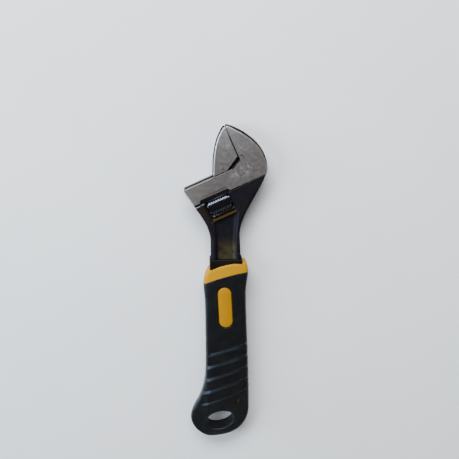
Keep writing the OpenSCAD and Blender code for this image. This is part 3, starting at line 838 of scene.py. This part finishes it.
def steel(name, machined):
    """Black-finished steel, ground bright on its flat sides and where machined(material, u, v) is 1."""
    m = Material(name, Specular_IOR_Level=0.1, Specular_Tint=(0.12, 0.12, 0.14, 1.0))
    u, v = m.axis((COS, SIN, 0)), m.axis((-SIN, COS, 0))
    height = m.math("ABSOLUTE", m.axis((0, 0, 1)))
    # The grinding ends at an uneven edge, which lies lower above the land
    uneven = m.fall(m.noise(0.8, 3.0, 0.6), 0.35, 0.65, -0.05, 0.05)
    start = m.math("ADD", m.fall(v, LAND_V + 0.3, LAND_V + 1.3, HEAD_HALF - 0.13, HEAD_HALF - 0.5), uneven)
    start = m.math("MINIMUM", start, HEAD_HALF - 0.1)
    ground = m.fall(m.math("SUBTRACT", height, start), 0.0, 0.08)
    ground = m.math("MAXIMUM", ground, machined(m, u, v))
    # The sill's brown is a painted reflection and the lip's pale line a painted highlight
    sill, lip = painted_sill_reflection(m, u, v), painted_lip_highlight(m, u, v, height)
    seam_shade_colour, lip_highlight_colour = (0.012, 0.011, 0.014), (0.42, 0.47, 0.45)
    # Painted shade darkens the seams of the ground faces
    bright = m.blend(painted_seam_shade(m, u, v, height), ground_colour(m, u, v), seam_shade_colour)
    black = black_finish(m, u, v, height, sill)
    m.drive("Base Color", m.blend(lip, m.blend(ground, black, bright), lip_highlight_colour))
    painted_sill_and_lip = m.math("MAXIMUM", sill, lip)
    m.drive("Metallic", m.choose(ground, m.choose(painted_sill_and_lip, 0.8, 0.45), 1.0))
    matt = m.fall(m.noise(0.5, 4.0, 0.6), 0.3, 0.75, 0.40, 0.5)
    black_sheen = m.fall(m.noise(0.5, 3.0, 0.6), 0.3, 0.7, 0.44, 0.54)
    m.drive("Roughness", m.choose(ground, black_sheen, matt))
    grinding_lines = m.noise(1.0, 3.0, 0.6, (0.25, 7.0, 7.0), JAW_ANGLE)
    scale = m.noise(1.6, 4.0, 0.55)
    m.drive("Normal", m.relief(m.choose(ground, scale, grinding_lines), 0.015))
    return m.material


def machined_head(m, u, v):
    """The slide edge, the mouth's root and the fixed jaw's contact face."""
    slide = m.fall(v, SLIDE_V - 0.12, SLIDE_V - 0.04)
    return m.product(slide, m.fall(u, FACE_U + 0.1, FACE_U + 0.2, 1.0, 0.0))


def machined_jaw(m, u, v):
    """The jaw's contact face, its lower side, and its web and guide rod."""
    contact_face = m.fall(u, JAW_FACE_U - 0.12, JAW_FACE_U - 0.04)
    below = m.fall(v, SLIDE_V + 0.14, SLIDE_V + 0.2, 1.0, 0.0)
    return m.math("MAXIMUM", contact_face, below)


def turned_steel(name, colour, rough, metallic=1.0):
    """Turned steel with fine rings across the head frame's u."""
    m = Material(name, Metallic=metallic)
    shade = m.noise(0.5, 4.0, 0.6)
    dark = tuple(c * 0.6 for c in colour)
    m.drive("Base Color", m.blend(m.fall(shade, 0.3, 0.7), dark, colour))
    m.drive("Roughness", m.fall(m.noise(1.5, 3.0, 0.6), 0.3, 0.7, rough - 0.04, rough + 0.06))
    rings = m.noise(1.0, 2.0, 0.6, (9.0, 0.4, 0.4), JAW_ANGLE)
    m.drive("Normal", m.relief(rings, 0.008))
    return m.material


def moulded(name, colour, second, rough, grain, depth, split=None, **settings):
    """Moulded plastic or rubber with a fine skin. The second colour drifts in, or lies below Y = split."""
    m = Material(name, **settings)
    drift = m.fall(m.noise(0.06, 3.0, 0.5), 0.35, 0.65)
    if split is not None:
        drift = m.fall(m.axis((0, 1, 0)), split - 1, split + 1, 1.0, 0.0)
    flecks = m.noise(2.2, 3.0, 0.6)
    base = m.blend(drift, colour, second)
    m.drive("Base Color", m.blend(m.fall(flecks, 0.55, 0.8, 0.0, 0.35), base, tuple(c * 1.5 for c in colour)))
    m.drive("Roughness", m.fall(m.noise(0.25, 4.0, 0.6), 0.3, 0.7, rough - 0.05, rough + 0.07))
    skin = m.noise(grain, 2.0, 0.6)
    m.drive("Normal", m.relief(skin, depth))
    return m.material


# ---- the pieces ----
def finish_piece(obj, body, node, material):
    obj.data.materials.clear()
    obj.data.materials.append(material)
    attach(obj, body)
    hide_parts(node)


black_steel = steel("black_and_ground_steel", machined_head)
jaw_steel = steel("jaw_steel", machined_jaw)
worm_steel = turned_steel("worm_steel", (0.048, 0.050, 0.066), rough=0.09, metallic=0.86)
pin_steel = turned_steel("pin_steel", (0.20, 0.20, 0.22), rough=0.34)
spring_steel = turned_steel("spring_steel", (0.50, 0.50, 0.52), rough=0.3)
liner_plastic = moulded("liner_plastic", (0.0030, 0.0026, 0.0023), (0.0045, 0.0038, 0.0032),
                        rough=0.5, grain=3.0, depth=0.01, Specular_IOR_Level=0.15)
yellow_plastic = moulded("yellow_plastic", (0.455, 0.213, 0.0005), (0.375, 0.168, 0.0003),
                         rough=0.5, grain=4.0, depth=0.012, split=-33.5, Specular_IOR_Level=0.1)
black_rubber = moulded("black_rubber", (0.0042, 0.0031, 0.0020), (0.0036, 0.0027, 0.0017),
                       rough=0.43, grain=3.2, depth=0.03,
                       Specular_IOR_Level=0.42, Specular_Tint=(0.62, 0.77, 1.0, 1.0))

steel_body = solid("forged_body", forging, (-26.5, -113.0, -6.6), (31.0, 65.5, 6.6), pitch=0.34, keep=0.4)
finish_piece(steel_body, "frame", "wrench_body", black_steel)
steel_jaw = solid("sliding_jaw", sliding_jaw, (-8.6, 21.2, -6.5), (25.6, 59.0, 6.5),
                  pitch=0.25, keep=0.4, in_head=True)
finish_piece(steel_jaw, "jaw", "movable_jaw", jaw_steel)
pin = solid("screw_pin", screw_pin, (-9.5, 13.7, -2.8), (16.3, 19.3, 2.8),
            pitch=0.16, keep=0.5, in_head=True)
finish_piece(pin, "frame", "worm_pin", pin_steel)
finish_piece(worm(), "worm", "worm", worm_steel)
finish_piece(spring(), "frame", "worm_spring", spring_steel)
sleeve = solid("liner_sleeve", liner, (-10.8, -114.0, -6.2), (10.8, -17.3, 6.2), pitch=0.34, keep=0.35)
finish_piece(sleeve, "frame", "grip_liner", liner_plastic)
core = solid("collar_and_inlays", collar_and_inlays, (-14.8, -116.2, -8.1), (14.8, -18.4, 8.1),
             pitch=0.34, keep=0.4)
finish_piece(core, "frame", "grip_core", yellow_plastic)
moulding = solid("grip_cover_moulding", cover, (-24.8, -140.5, -8.2), (15.2, -23.6, 8.2),
                 pitch=0.36, keep=0.4)
finish_piece(moulding, "frame", "grip_cover", black_rubber)


# ---- floor, light and camera ----
def floor():
    mesh = bpy.data.meshes.new("floor")
    plan = bmesh.new()
    bmesh.ops.create_grid(plan, x_segments=2, y_segments=2, size=1.5)
    plan.to_mesh(mesh)
    plan.free()
    obj = bpy.data.objects.new("floor", mesh)
    bpy.context.scene.collection.objects.link(obj)
    m = Material("pale_floor", Roughness=0.8)
    clouds = m.fall(m.noise(0.01, 2.0, 0.5), 0.3, 0.7)
    m.drive("Base Color", m.blend(clouds, (0.92, 0.92, 0.92), (0.95, 0.95, 0.95)))
    mesh.materials.append(m.material)


def softbox(name, place, aim, width, height, watts, colour):
    data = bpy.data.lights.new(name, "AREA")
    data.shape = "RECTANGLE"
    data.size, data.size_y = width, height
    data.energy = watts
    data.color = colour
    obj = bpy.data.objects.new(name, data)
    bpy.context.scene.collection.objects.link(obj)
    obj.location = place
    obj.rotation_euler = (Vector(aim) - Vector(place)).to_track_quat("-Z", "Y").to_euler()


def camera():
    """The photograph's view, as found from its perspective: place and axes in the drawing frame."""
    data = bpy.data.cameras.new("camera")
    data.lens, data.sensor_width = 47.06, 36.0
    obj = bpy.data.objects.new("camera", data)
    bpy.context.scene.collection.objects.link(obj)
    place = (np.array([-16.5, 91.9, 354.3]) + ORIGIN) * MM
    forward = Vector((0.05178, -0.25073, -0.96667)).normalized()
    right = Vector((0.99843, -0.00765, 0.0555))
    right = (right - forward * right.dot(forward)).normalized()
    up = right.cross(forward)
    turn = Matrix((right, up, -forward)).transposed().to_4x4()
    obj.matrix_world = Matrix.Translation(Vector(place)) @ turn
    bpy.context.scene.camera = obj


def lights():
    world = bpy.data.worlds.new("studio")
    world.use_nodes = True
    background = world.node_tree.nodes["Background"]
    background.inputs["Color"].default_value = (0.9, 0.95, 1.0, 1.0)
    background.inputs["Strength"].default_value = 0.12
    bpy.context.scene.world = world
    softbox("key", (-0.15, 0.8, 0.65), (0, 0.02, 0), 0.8, 0.35, 20, (0.9, 0.95, 1.0))
    softbox("left", (-0.8, 0.15, 0.42), (0, 0.02, 0), 0.3, 0.9, 12, (0.72, 0.86, 1.0))
    softbox("right", (0.8, -0.1, 0.6), (0, 0, 0), 0.3, 0.9, 1.5, (1.0, 0.95, 0.88))
    softbox("low", (0.05, -0.9, 0.24), (0, 0.03, 0), 0.9, 0.2, 2.2, (1.0, 0.97, 0.92))


floor()
lights()
camera()
